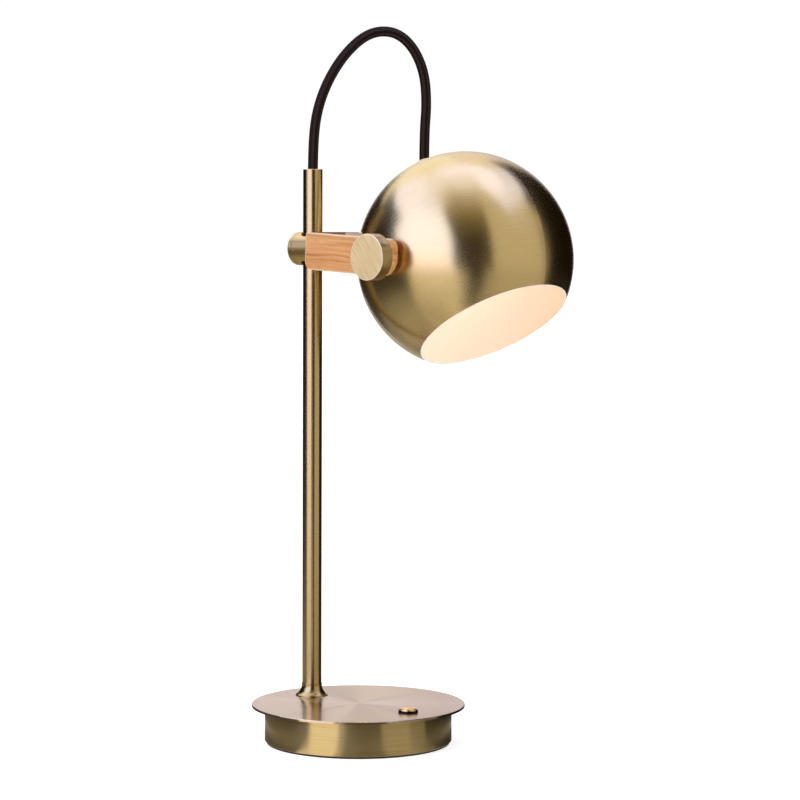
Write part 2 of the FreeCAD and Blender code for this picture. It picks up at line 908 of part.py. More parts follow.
def make_holder_cup():
    """Cup that hangs on the gland's tube and hides the lamp holder."""
    top = holder_top()
    outer = holder_cup_diameter / 2
    cup = rod(outer, top - holder_cup_depth, top)
    cup = cup.makeFillet(holder_cup_wall, rim_edges(cup, top))
    cup = cup.cut(rod(outer - holder_cup_wall, 0, top - holder_cup_wall))
    return place_on_shade(cup.cut(rod(gland_tube_diameter / 2 + running_gap, 0, shade_radius)))


def make_ring_nut():
    """Round nut under the roof of the cup."""
    top = holder_top() - holder_cup_wall
    return place_on_shade(ring(ring_nut_diameter / 2, gland_tube_diameter / 2 + running_gap,
                               top - ring_nut_height, top))


def holder_core_top():
    """Top of the holder's core, below the gland's tube and the ring nut."""
    return min(tube_end, holder_top() - holder_cup_wall - ring_nut_height) - cover_gap


def make_holder_core():
    """Lamp holder with its screw socket and a flange that fits the cup."""
    top = holder_core_top()
    core = rod(holder_core_diameter / 2, top - holder_core_length, top)
    flange = rod(holder_cup_diameter / 2 - holder_cup_wall - running_gap, top - holder_flange_thickness, top)
    socket_end = top - holder_core_length + bulb_cap_length + running_gap
    socket = rod(bulb_cap_diameter / 2 + running_gap, 0, socket_end)
    return place_on_shade(core.fuse(flange).cut(socket))


def make_bulb_cap():
    """Screw cap of the bulb."""
    low = holder_core_top() - holder_core_length
    return place_on_shade(rod(bulb_cap_diameter / 2, low, low + bulb_cap_length))


def bulb_outline(radius, neck, top, crown):
    """Half outline of a ball with a neck: neck line and ball arc."""
    centre = crown + radius
    join = centre + math.sqrt(radius ** 2 - neck ** 2)
    side = centre
    return [
        line(flat(neck, top), flat(neck, join)),
        bend(flat(neck, join), flat(radius, side), flat(0, crown)),
    ]


def make_bulb_glass():
    """Frosted glass ball of the bulb, open at the neck."""
    top = holder_core_top() - holder_core_length
    crown = top - bulb_length
    neck = bulb_neck_diameter / 2
    outer = bulb_outline(bulb_diameter / 2, neck, top, crown)
    inner = bulb_outline(bulb_diameter / 2 - bulb_wall, neck - bulb_wall, top, crown + bulb_wall)
    closing = [
        line(flat(0, crown), flat(0, crown + bulb_wall)),
        line(flat(neck - bulb_wall, top), flat(neck, top)),
    ]
    return place_on_shade(turned(outer + inner + closing))


def tangent_arcs(points):
    """Straight runs joined by tangent arcs, with the radius of each arc."""
    edges = []
    radii = []
    here = points[0]
    for before, corner, after in zip(points, points[1:], points[2:]):
        arriving = corner - before
        leaving = after - corner
        shorter = min(arriving.Length, leaving.Length)
        half_turn = arriving.getAngle(leaving) / 2
        cut_back = cord_arc_share * shorter
        radius = cut_back / math.tan(half_turn)
        arriving.normalize()
        leaving.normalize()
        first = corner - arriving * cut_back
        last = corner + leaving * cut_back
        inward = leaving - arriving
        inward.normalize()
        middle_height = radius / math.cos(half_turn) - radius
        middle = corner + inward * middle_height
        edges.append(line(here, first))
        edges.append(bend(first, middle, last))
        radii.append(radius)
        here = last
    edges.append(line(here, points[-1]))
    return edges, radii


def make_shade_cord():
    """Braided cord from the post, over the arch, to the gland."""
    points = cord_points()
    edges, radii = tangent_arcs(points)
    path = Part.Wire(edges)
    circle = Part.Wire(Part.makeCircle(cord_radius, points[0], points[1] - points[0]))
    cord = path.makePipeShell([circle], True, False)
    expected = math.pi * cord_radius ** 2 * path.Length
    print("cord radii", [round(radius, 1) for radius in radii])
    print("cord length", round(path.Length, 1), "volume ratio", round(cord.Volume / expected, 4))
    return cord


makers = {
    "base_disc": make_base_disc,
    "base_drum": make_base_drum,
    "foot_pad": make_foot_pad,
    "bottom_cover": make_bottom_cover,
    "cover_screws": make_cover_screws,
    "ballast_plate": make_ballast_plate,
    "battery_pack": make_battery_pack,
    "control_board": make_control_board,
    "board_spacers": make_board_spacers,
    "board_screws": make_board_screws,
    "push_switch": make_push_switch,
    "socket_board": make_socket_board,
    "usb_socket": make_usb_socket,
    "button_bezel": make_button_bezel,
    "button_cap": make_button_cap,
    "post_tube": make_post_tube,
    "post_nipple": make_post_nipple,
    "post_washer": make_post_washer,
    "post_nut": make_post_nut,
    "post_collar": make_post_collar,
    "end_bush": make_end_bush,
    "post_lead": make_post_lead,
    "clamp_liner": make_clamp_liner,
    "clamp_body": make_clamp_body,
    "clamp_knob": make_clamp_knob,
    "arm_spine": make_arm_spine,
    "spine_tip": make_spine_tip,
    "spine_screws": make_spine_screws,
    "nose_screws": make_nose_screws,
    "wood_arm": make_wood_arm,
    "tilt_bush": make_tilt_bush,
    "friction_washer": make_friction_washer,
    "tilt_knob": make_tilt_knob,
    "tilt_spindle": make_tilt_spindle,
    "spindle_pad": make_spindle_pad,
    "spindle_nut": make_spindle_nut,
    "shade_shell": make_shade_shell,
    "cord_gland": make_cord_gland,
    "gland_nut": make_gland_nut,
    "holder_cup": make_holder_cup,
    "ring_nut": make_ring_nut,
    "holder_core": make_holder_core,
    "bulb_cap": make_bulb_cap,
    "bulb_glass": make_bulb_glass,
    "shade_cord": make_shade_cord,
}

os.makedirs("parts", exist_ok=True)
for name, maker in makers.items():
    shape = maker()
    shape.exportStep("parts/" + name + ".step")
    print(name, shape.isValid(), len(shape.Solids), round(shape.Volume, 1))
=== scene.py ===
"""Looks of the cordless table lamp: brushed brass, oiled wood, braided cord and a lit ball shade."""
import math

import bmesh
import bpy
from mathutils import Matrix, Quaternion, Vector


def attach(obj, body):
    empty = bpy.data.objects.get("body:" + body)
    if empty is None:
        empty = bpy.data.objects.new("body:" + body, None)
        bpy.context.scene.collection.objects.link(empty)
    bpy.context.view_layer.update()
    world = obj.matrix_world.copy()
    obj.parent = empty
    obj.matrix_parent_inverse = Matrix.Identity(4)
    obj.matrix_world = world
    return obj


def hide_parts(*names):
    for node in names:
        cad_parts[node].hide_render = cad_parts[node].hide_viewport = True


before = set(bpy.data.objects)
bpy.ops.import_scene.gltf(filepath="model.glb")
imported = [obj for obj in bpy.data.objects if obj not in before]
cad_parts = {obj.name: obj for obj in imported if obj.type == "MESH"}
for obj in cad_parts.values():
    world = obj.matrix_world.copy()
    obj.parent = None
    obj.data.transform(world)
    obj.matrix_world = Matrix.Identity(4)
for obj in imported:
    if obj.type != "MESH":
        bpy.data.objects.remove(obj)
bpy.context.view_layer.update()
scene = bpy.context.scene
scene.view_settings.view_transform = "Standard"

# Places and sizes of the solids, in metres
UPRIGHT = Vector((0.0, 0.0, 1.0))
POST_X = -0.048
POST_FOOT = (POST_X, 0.0, 0.0)
CLAMP_CENTRE = (POST_X, 0.0, 0.3468)
PIVOT = Vector((0.0318, 0.0, 0.3414))
ARM_DIP = math.radians(3.12)
WOOD_HALF_HEIGHT = 0.01295
WOOD_START = -0.0718
KNOB_FACE_Y = -0.0246
KNOB_RADIUS = 0.0161
SHADE_CENTRE = Vector((0.0318, 0.07335, 0.3392))
SHADE_RADIUS = 0.07685
SHADE_WALL = 0.0009
MOUTH_TILT = math.radians(31.7)
SHADE_AXIS = Vector((-math.sin(MOUTH_TILT), 0.0, math.cos(MOUTH_TILT)))
DISC_RADIUS = 0.075
DISC_TOP = 0.0273
BUTTON_CENTRE = (0.0496, 0.0, 0.0)

# Camera, as in the photograph
VIEW_AZIMUTH = math.radians(45.05)
VIEW_PITCH = math.radians(3.48)
VIEW_ROLL = math.radians(0.23)
VIEW_POINT = Vector((1.32944, -1.28681, 0.35387))
VIEW_LENS = 119.12
VIEW_SENSOR = 36.0
VIEW_BACK = Vector((math.sin(VIEW_AZIMUTH), -math.cos(VIEW_AZIMUTH), 0.0))
VIEW_RIGHT = Vector((math.cos(VIEW_AZIMUTH), math.sin(VIEW_AZIMUTH), 0.0))


def place_camera():
    """Long lens, level with the shade, pitched a little down and hardly rolled."""
    lens = bpy.data.cameras.new("photo_camera")
    lens.lens = VIEW_LENS
    lens.sensor_width = VIEW_SENSOR
    lens.clip_start = 0.05
    lens.clip_end = 60.0
    camera = bpy.data.objects.new("photo_camera", lens)
    scene.collection.objects.link(camera)
    forward = -(VIEW_BACK * math.cos(VIEW_PITCH)) - UPRIGHT * math.sin(VIEW_PITCH)
    camera.location = VIEW_POINT
    camera.rotation_mode = "QUATERNION"
    camera.rotation_quaternion = Quaternion(forward, -VIEW_ROLL) @ forward.to_track_quat("-Z", "Y")
    scene.camera = camera


place_camera()


# Shader building blocks

class NodeTree:
    """Adds nodes and links to a tree by short calls."""

    MIX_SOCKETS = {"FLOAT": (2, 3, 0), "VECTOR": (4, 5, 1), "RGBA": (6, 7, 2)}
    GIVES_NUMBER = ("LENGTH", "DISTANCE", "DOT_PRODUCT")

    def __init__(self, tree):
        self.nodes = tree.nodes
        self.links = tree.links

    def link(self, source, target):
        self.links.new(source, target)

    def put(self, socket, value):
        """Link an output, or set a plain value, or leave the socket as it is."""
        if value is None:
            return
        if isinstance(value, bpy.types.NodeSocket):
            self.link(value, socket)
        elif socket.type == "RGBA":
            socket.default_value = (*value, 1.0)
        else:
            socket.default_value = value

    def node(self, kind, **settings):
        made = self.nodes.new(kind)
        for name, value in settings.items():
            setattr(made, name, value)
        return made

    def math(self, operation, first, second=None):
        made = self.node("ShaderNodeMath", operation=operation)
        for socket, value in zip(made.inputs, (first, second)):
            self.put(socket, value)
        return made.outputs[0]

    def vector(self, operation, first, second=None, scale=None):
        made = self.node("ShaderNodeVectorMath", operation=operation)
        self.put(made.inputs[0], first)
        self.put(made.inputs[1], second)
        if scale is not None:
            self.put(made.inputs["Scale"], scale)
        return made.outputs["Value" if operation in self.GIVES_NUMBER else "Vector"]

    def noise(self, vector, scale, detail, roughness=0.5):
        made = self.node("ShaderNodeTexNoise")
        self.put(made.inputs["Vector"], vector)
        self.put(made.inputs["Scale"], scale)
        made.inputs["Detail"].default_value = detail
        made.inputs["Roughness"].default_value = roughness
        return made.outputs["Fac"]

    def ramp(self, factor, stops):
        made = self.node("ShaderNodeValToRGB")
        elements = made.color_ramp.elements
        while len(elements) < len(stops):
            elements.new(0.5)
        for element, (place, colour) in zip(elements, stops):
            element.position = place
            element.color = (*colour, 1.0)
        self.link(factor, made.inputs["Fac"])
        return made.outputs["Color"]

    def between(self, value, low, high, start=0.0, end=1.0):
        """Low where the value is at its start, high at its end, and held outside them."""
        made = self.node("ShaderNodeMapRange")
        for name, setting in (("Value", value), ("From Min", start), ("From Max", end), ("To Min", low),
                              ("To Max", high)):
            self.put(made.inputs[name], setting)
        return made.outputs["Result"]

    def mix(self, factor, first, second, kind="RGBA"):
        made = self.node("ShaderNodeMix", data_type=kind)
        at_none, at_full, result = self.MIX_SOCKETS[kind]
        self.put(made.inputs["Factor"], factor)
        self.put(made.inputs[at_none], first)
        self.put(made.inputs[at_full], second)
        return made.outputs[result]


class Finish(NodeTree):
    """A material under construction, built round its Principled shader."""

    def __init__(self, name):
        self.material = bpy.data.materials.new(name)
        self.material.use_nodes = True
        super().__init__(self.material.node_tree)
        self.shader = self.nodes["Principled BSDF"]

    def set(self, **sockets):
        for name, value in sockets.items():
            self.shader.inputs[name.replace("_", " ").title().replace("Ior", "IOR")].default_value = value
        return self

    def feed(self, source, name):
        self.link(source, self.shader.inputs[name])

    def fed(self, name):
        """What feeds a socket of the shader so far."""
        return self.shader.inputs[name].links[0].from_socket

    def object_point(self):
        return self.node("ShaderNodeTexCoord").outputs["Object"]

    def bump(self, height, strength, distance):
        made = self.node("ShaderNodeBump")
        made.inputs["Strength"].default_value = strength
        made.inputs["Distance"].default_value = distance
        self.link(height, made.inputs["Height"])
        self.feed(made.outputs["Normal"], "Normal")

    def group(self, tree, **inputs):
        made = self.node("ShaderNodeGroup")
        made.node_tree = tree
        for name, value in inputs.items():
            self.put(made.inputs[name], value)
        return made


def shared_group(name, inputs, outputs):
    """Empty node group with named inputs and number outputs."""
    tree = bpy.data.node_groups.new(name, "ShaderNodeTree")
    for title, kind, value in inputs:
        socket = tree.interface.new_socket(name=title, in_out="INPUT", socket_type=kind)
        if value is not None:
            socket.default_value = value
    for title in outputs:
        tree.interface.new_socket(name=title, in_out="OUTPUT", socket_type="NodeSocketFloat")
    return tree, tree.nodes.new("NodeGroupInput"), tree.nodes.new("NodeGroupOutput")


# Brush marks: scale across them, scale along them and detail; where in the noise they start and end
FINE_MARKS = (3200.0, 30.0, 3.0)
COARSE_MARKS = (900.0, 20.0, 2.0)
COARSE_SHARE = 0.3
MARKS_RAGGED = 0.7
MARKS_SPAN = (0.34, 0.66)
DEEP_SPAN = (0.6, 0.74)


def make_brush_marks():
    """Long fine scratches that run across the Z of the pattern, with a few deeper ones."""
    tree, source, result = shared_group(
        "brush_marks", [("Vector", "NodeSocketVector", None), ("Fineness", "NodeSocketFloat", 1.0)],
        ["Marks", "Deep Marks", "Height"])
    group = NodeTree(tree)

    def streaks(across, along, detail):
        drawn_out = group.vector("MULTIPLY", source.outputs["Vector"], (along, along, across))
        sized = group.vector("SCALE", drawn_out, scale=source.outputs["Fineness"])
        return group.noise(sized, 1.0, detail, MARKS_RAGGED)

    coarse = streaks(*COARSE_MARKS)
    height = group.mix(COARSE_SHARE, streaks(*FINE_MARKS), coarse, "FLOAT")
    group.link(group.between(height, 0.0, 1.0, *MARKS_SPAN), result.inputs["Marks"])
    group.link(group.between(coarse, 0.0, 1.0, *DEEP_SPAN), result.inputs["Deep Marks"])
    group.link(height, result.inputs["Height"])
    return tree


SPECK_SCALE = 2200.0


def make_handling():
    """Soft uneven patches, as from handling and wiping, and fine specks."""
    tree, source, result = shared_group(
        "handling", [("Vector", "NodeSocketVector", None), ("Scale", "NodeSocketFloat", 30.0)],
        ["Patches", "Specks"])
    group = NodeTree(tree)
    patches = group.noise(source.outputs["Vector"], source.outputs["Scale"], 4.0)
    group.link(patches, result.inputs["Patches"])
    specks = group.noise(source.outputs["Vector"], SPECK_SCALE, 2.0)
    group.link(specks, result.inputs["Specks"])
    return tree


BRUSH_MARKS = make_brush_marks()
HANDLING = make_handling()


def dress(name, finish):
    """Give a solid its finish."""
    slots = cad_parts[name].data.materials
    slots.clear()
    slots.append(finish.material)


# Brass: its tones, the painted highlight on the rim of the knob's face, and how marks and wear mix into a
# tone
BRASS = (0.68, 0.5, 0.225)
BRASS_SHADE = (0.55, 0.385, 0.15)
RIM_PAINTED_HIGHLIGHT = (0.97, 0.8, 0.52)
RIM_HIGHLIGHT_ROUGHER = 0.15
PATTERN_RADIUS = 0.05
BRASS_WEAR_SCALE = 28.0
MARKS_SHARE = 0.62
DARK_BELOW = 0.2
LIGHT_ABOVE = 0.75
MARK_DEPTH = 0.00005
GLOSS_TURN = 0.25
LACQUER_ROUGHNESS = 0.2
FACE_METALLIC = 0.8


def split_offset(finish, offset, axis):
    """Height along the axis, and the offset from the axis."""
    height = finish.vector("DOT_PRODUCT", offset, axis)
    return height, finish.vector("SUBTRACT", offset, finish.vector("SCALE", axis, scale=height))


def turned_pattern(finish, height, radial, axis, shape):
    """Pattern of a turned piece: marks run round the axis, Z of the pattern lies across them."""
    reach = finish.vector("LENGTH", radial)
    around = finish.vector("SCALE", finish.vector("NORMALIZE", radial), scale=PATTERN_RADIUS)
    across = height
    if shape == "ball":
        across = finish.math("MULTIPLY", finish.math("ARCTAN2", reach, height), SHADE_RADIUS)
    elif shape == "plate":
        across = reach
    turn = finish.node("ShaderNodeMapping", vector_type="POINT")
    turn.inputs["Rotation"].default_value = axis.rotation_difference(UPRIGHT).to_euler()
    lay = finish.vector("ADD", around, finish.vector("SCALE", axis, scale=across))
    finish.link(lay, turn.inputs["Vector"])
    return turn.outputs["Vector"]


def straight_pattern(finish, offset, along, across):
    """Pattern of a flat face: straight marks along one line, Z of the pattern lies across them."""
    lay = finish.node("ShaderNodeCombineXYZ")
    finish.link(finish.vector("DOT_PRODUCT", offset, along), lay.inputs["X"])
    finish.link(finish.vector("DOT_PRODUCT", offset, across), lay.inputs["Z"])
    return lay.outputs["Vector"]


def brass_finish(name, centre=(0.0, 0.0, 0.0), axis=UPRIGHT, shape="tube", roughness=0.29,
                 anisotropy=0.8, strength=0.008, fineness=1.0, coat=0.02, light=BRASS, dark=BRASS_SHADE,
                 uneven=0.04, face=None):
    """Lacquered brass brushed round an axis; a face, where given, is brushed straight and rougher, with
    its own tones and a painted highlight on its rim.
    """
    finish = Finish(name)
    axis = Vector(axis).normalized()
    offset = finish.vector("SUBTRACT", finish.object_point(), centre)
    height, radial = split_offset(finish, offset, axis)
    pattern = turned_pattern(finish, height, radial, axis, shape)
    marks_way = finish.vector("CROSS_PRODUCT", axis, offset)
    wear = finish.group(HANDLING, Vector=finish.object_point(), Scale=BRASS_WEAR_SCALE)
    rough = finish.between(wear.outputs["Patches"], roughness - uneven, roughness + uneven)
    if face:
        level, along, face_roughness, face_dark, face_light, rim = face
        on_face = finish.math("LESS_THAN", height, level)
        straight = straight_pattern(finish, offset, along, axis.cross(along))
        pattern = finish.mix(on_face, pattern, straight, "VECTOR")
        marks_way = finish.mix(on_face, marks_way, along, "VECTOR")
        rough = finish.math("ADD", rough, finish.math("MULTIPLY", on_face, face_roughness - roughness))
    marks = finish.group(BRUSH_MARKS, Vector=pattern, Fineness=fineness)
    tone = finish.math("ADD", finish.math("MULTIPLY", marks.outputs["Marks"], MARKS_SHARE),
                       finish.math("MULTIPLY", wear.outputs["Patches"], 1.0 - MARKS_SHARE))
    colour = finish.ramp(tone, [(DARK_BELOW, dark), (LIGHT_ABOVE, light)])
    if face:
        face_colour = finish.ramp(tone, [(DARK_BELOW, face_dark), (LIGHT_ABOVE, face_light)])
        colour = finish.mix(on_face, colour, face_colour)
        finish.feed(finish.between(on_face, 1.0, FACE_METALLIC), "Metallic")
        # Painted highlight: a pale, slightly rougher ring on the face's outer edge, standing in for the
        # light its bevel catches
        outer = finish.math("GREATER_THAN", finish.vector("LENGTH", radial), rim)
        at_rim_highlight = finish.math("MULTIPLY", outer, on_face)
        colour = finish.mix(at_rim_highlight, colour, RIM_PAINTED_HIGHLIGHT)
        rough = finish.math("ADD", rough, finish.math("MULTIPLY", at_rim_highlight, RIM_HIGHLIGHT_ROUGHER))
    finish.feed(colour, "Base Color")
    deep_rough = finish.math("MULTIPLY", marks.outputs["Deep Marks"], uneven)
    finish.feed(finish.math("ADD", rough, deep_rough), "Roughness")
    finish.bump(marks.outputs["Height"], strength, MARK_DEPTH)
    to_world = finish.node("ShaderNodeVectorTransform", vector_type="VECTOR", convert_from="OBJECT",
                           convert_to="WORLD")
    finish.link(marks_way, to_world.inputs["Vector"])
    finish.feed(finish.vector("NORMALIZE", to_world.outputs["Vector"]), "Tangent")
    finish.set(metallic=1.0, anisotropic=anisotropy, anisotropic_rotation=GLOSS_TURN, coat_weight=coat,
               coat_roughness=LACQUER_ROUGHNESS)
    return finish


# Ball shade: how deep the brass goes into its wall, the paint inside with the bulb's light painted on it,
# and a painted glow on its rim
BRASS_SKIN = 0.08 * SHADE_WALL
RIM_SKIN = 0.85 * SHADE_WALL
# Painted light inside: the way, start and end of the falloff from cream to peach, and its two colours
FALLOFF_WAY = Vector((1.0, 0.8, -0.5)).normalized()
FALLOFF_START = -0.5 * SHADE_RADIUS
FALLOFF_END = 0.9 * SHADE_RADIUS
INSIDE_PAINTED_LIGHT = (0.85, 0.84, 0.82)
INSIDE_PAINTED_SHADE = (0.78, 0.64, 0.54)
PAINT_PATCHES = 0.06
PAINT_PATCH_SCALE = 20.0
PAINT_ROUGHNESS = 0.6
# Painted light on the rim: colour and strength of a glow, though the rim is no lamp
RIM_PAINTED_GLOW = (1.0, 0.95, 0.88)
RIM_PAINTED_GLOW_STRENGTH = 0.35


def shade_finish():
    """Brushed brass outside, warm white paint inside and on the rim; painted light goes from cream to
    peach inside, and a glow is painted on the rim.
    """
    finish = brass_finish("brushed_brass_shade", SHADE_CENTRE, SHADE_AXIS, "ball", roughness=0.26,
                          anisotropy=0.7, coat=0.0, strength=0.003, fineness=2.0,
                          dark=(0.61, 0.44, 0.185))
    reach = finish.vector("DISTANCE", finish.object_point(), SHADE_CENTRE)
    inside = finish.math("LESS_THAN", reach, SHADE_RADIUS - BRASS_SKIN)
    on_rim = finish.math("GREATER_THAN", reach, SHADE_RADIUS - RIM_SKIN)
    wear = finish.group(HANDLING, Vector=finish.object_point(), Scale=PAINT_PATCH_SCALE)
    # Painted light: the paint goes from cream to peach along a fixed way across the ball, standing in for
    # the bulb's light falling off
    offset = finish.vector("SUBTRACT", finish.object_point(), SHADE_CENTRE)
    depth = finish.vector("DOT_PRODUCT", offset, FALLOFF_WAY)
    painted_falloff = finish.between(depth, 0.0, 1.0, FALLOFF_START, FALLOFF_END)
    patches = finish.between(wear.outputs["Patches"], -PAINT_PATCHES, PAINT_PATCHES)
    paint = finish.mix(finish.math("ADD", painted_falloff, patches), INSIDE_PAINTED_LIGHT, INSIDE_PAINTED_SHADE)
    finish.feed(finish.mix(inside, finish.fed("Base Color"), paint), "Base Color")
    finish.feed(finish.math("SUBTRACT", 1.0, inside), "Metallic")
    paint_rough = finish.math("MULTIPLY", inside, PAINT_ROUGHNESS)
    finish.feed(finish.math("MAXIMUM", finish.fed("Roughness"), paint_rough), "Roughness")
    # Painted light: the painted rim glows on its own, as if lit
    painted_rim_glow = finish.math("MULTIPLY", inside, on_rim)
    finish.feed(finish.mix(painted_rim_glow, (0.0, 0.0, 0.0), RIM_PAINTED_GLOW), "Emission Color")
    finish.set(emission_strength=RIM_PAINTED_GLOW_STRENGTH)
    return finish


# Disc: painted shade, browner towards the camera's right, and in a few sectors painted as the fan of its
# reflection
DISC_PAINTED_SHADE = (0.3, 0.18, 0.08)
DISC_SHADE_WAY = (0.707, 0.707, 0.0)
DISC_SHADE_START = 0.2 * DISC_RADIUS
DISC_SHADE_END = 0.8 * DISC_RADIUS
DISC_SHADE_MOST = 0.45
REFLECTION_SECTOR_STOPS = ((0.38, (0.0, 0.0, 0.0)), (0.62, (0.3, 0.3, 0.3)))
REFLECTION_SECTOR_SCALE = 1.7


def disc_finish():
    """Pale brushed disc with painted shade: browner towards its right edge, and in soft sectors that
    stand for the fan of its reflection.
    """
    finish = brass_finish("brushed_brass_disc", (0.0, 0.0, DISC_TOP), UPRIGHT, "plate", roughness=0.19,
                          anisotropy=0.88, strength=0.001, light=(0.72, 0.55, 0.34),
                          dark=(0.6, 0.44, 0.26))
    level = finish.vector("MULTIPLY", finish.object_point(), (1.0, 1.0, 0.0))
    around = finish.vector("NORMALIZE", level)
    # Painted reflection: soft darker sectors round the centre, as in the fan of a brushed disc's
    # reflection
    painted_reflection_sectors = finish.ramp(finish.noise(around, REFLECTION_SECTOR_SCALE, 1.0), REFLECTION_SECTOR_STOPS)
    # Painted shade: browner towards the camera's right
    reach = finish.vector("DOT_PRODUCT", finish.object_point(), DISC_SHADE_WAY)
    painted_shade = finish.between(reach, 0.0, DISC_SHADE_MOST, DISC_SHADE_START, DISC_SHADE_END)
    painted_share = finish.math("MAXIMUM", painted_shade, painted_reflection_sectors)
    finish.feed(finish.mix(painted_share, finish.fed("Base Color"), DISC_PAINTED_SHADE), "Base Color")
    return finish


# Button's ring: where its black part ends
BLACK_TOP = 0.0287
BEZEL_BLACK = (0.003, 0.002, 0.002)


def bezel_finish():
    """Black ring with a brass upper edge."""
    finish = brass_finish("button_ring", BUTTON_CENTRE, UPRIGHT, roughness=0.26, anisotropy=0.3,
                          light=(0.8, 0.56, 0.24), dark=(0.64, 0.43, 0.16))
    height = finish.vector("DOT_PRODUCT", finish.object_point(), UPRIGHT)
    black = finish.math("LESS_THAN", height, BLACK_TOP)
    finish.feed(finish.mix(black, finish.fed("Base Color"), BEZEL_BLACK), "Base Color")
    finish.feed(finish.math("SUBTRACT", 1.0, black), "Metallic")
    finish.set(specular_ior_level=0.15)
    return finish


# Knob's face: level, way of its marks, roughness, dark and light tones, which are a lighter copy of the
# brass as painted light, and where its painted rim highlight starts
KNOB_FACE = (KNOB_FACE_Y + 0.0004, Vector((0.6, 0.0, -0.8)).normalized(), 0.64, (0.64, 0.44, 0.15),
             (1.0, 0.79, 0.36), KNOB_RADIUS - 0.0008)
ALONG_ARM = (1.0, 0.0, 0.0)
ALONG_SPINDLE = (0.0, 1.0, 0.0)

# Some parts get their own brass tones: lighter or darker copies of one brass, painted light and shade for
# how each part is lit
dress("shade_shell", shade_finish())
dress("base_disc", disc_finish())
dress("base_drum", brass_finish("brushed_brass_drum"))
dress("button_bezel", bezel_finish())
dress("button_cap", brass_finish(
    "brushed_brass_button", BUTTON_CENTRE, UPRIGHT, "plate", roughness=0.26,
    light=(0.86, 0.6, 0.26), dark=(0.7, 0.46, 0.18)))
dress("post_tube", brass_finish(
    "brushed_brass_post", POST_FOOT, roughness=0.26, anisotropy=0.72, strength=0.001,
    light=(0.575, 0.415, 0.185), dark=(0.525, 0.37, 0.155), uneven=0.01))
dress("post_collar", brass_finish(
    "brushed_brass_collar", POST_FOOT, roughness=0.24, anisotropy=0.5, strength=0.001,
    light=(0.5, 0.36, 0.15), dark=(0.44, 0.31, 0.12), uneven=0.01))
for node in ("clamp_body", "clamp_knob"):
    dress(node, brass_finish(
        "brushed_brass_" + node, CLAMP_CENTRE, ALONG_ARM, roughness=0.33, anisotropy=0.88,
        strength=0.001, light=(0.74, 0.5, 0.18), dark=(0.67, 0.445, 0.15), uneven=0.01))
dress("spine_tip", brass_finish(
    "brushed_brass_tip", CLAMP_CENTRE, UPRIGHT, roughness=0.42, anisotropy=0.3,
    light=(0.92, 0.76, 0.5), dark=(0.8, 0.63, 0.36)))
# Painted shade on the knob's side: darker tones than the other brass. Its face gets lighter ones as
# painted light.
dress("tilt_knob", brass_finish(
    "brushed_brass_knob", PIVOT, ALONG_SPINDLE, roughness=0.21, anisotropy=0.4, fineness=1.3,
    light=(0.5, 0.36, 0.17), dark=(0.38, 0.27, 0.11), face=KNOB_FACE))
dress("tilt_spindle", brass_finish("brushed_brass_spindle", PIVOT, ALONG_SPINDLE))
dress("cord_gland", brass_finish("brushed_brass_gland", SHADE_CENTRE, SHADE_AXIS))
for node in ("tilt_bush", "ring_nut", "post_nipple", "holder_cup"):
    dress(node, brass_finish("turned_brass_" + node, SHADE_CENTRE, SHADE_AXIS))


# Wood: scales of its grain along the arm, through it and up it
SWAY_SCALES = (22.0, 40.0, 60.0)
RING_SCALES = (7.0, 150.0, 420.0)
STREAK_SCALES = (34.0, 700.0, 1500.0)
PORE_SCALES = (190.0, 1500.0, 3200.0)
GRAIN_SWAY = 0.005
RINGS_SHARE = 0.6

# Wood: colours of its grain from dark to light, and the pale painted highlight along its outline
GRAIN_STOPS = ((0.36, (0.45, 0.16, 0.045)), (0.45, (0.68, 0.3, 0.105)), (0.55, (0.8, 0.4, 0.16)),
               (0.68, (0.9, 0.52, 0.25)))
PORE_STOPS = ((0.3, (1.0, 1.0, 1.0)), (0.42, (0.0, 0.0, 0.0)))
PORE_BROWN = (0.33, 0.12, 0.035)
PORE_SHARE = 0.4
PORE_SINK = 0.3
EDGE_PAINTED_HIGHLIGHT = (1.0, 0.8, 0.6)
EDGE_HIGHLIGHT_SHARE = 0.75
EDGE_HIGHLIGHT_START = -0.0013
EDGE_HIGHLIGHT_END = -0.0002
GRAIN_STRENGTH = 0.2
GRAIN_DEPTH = 0.0002


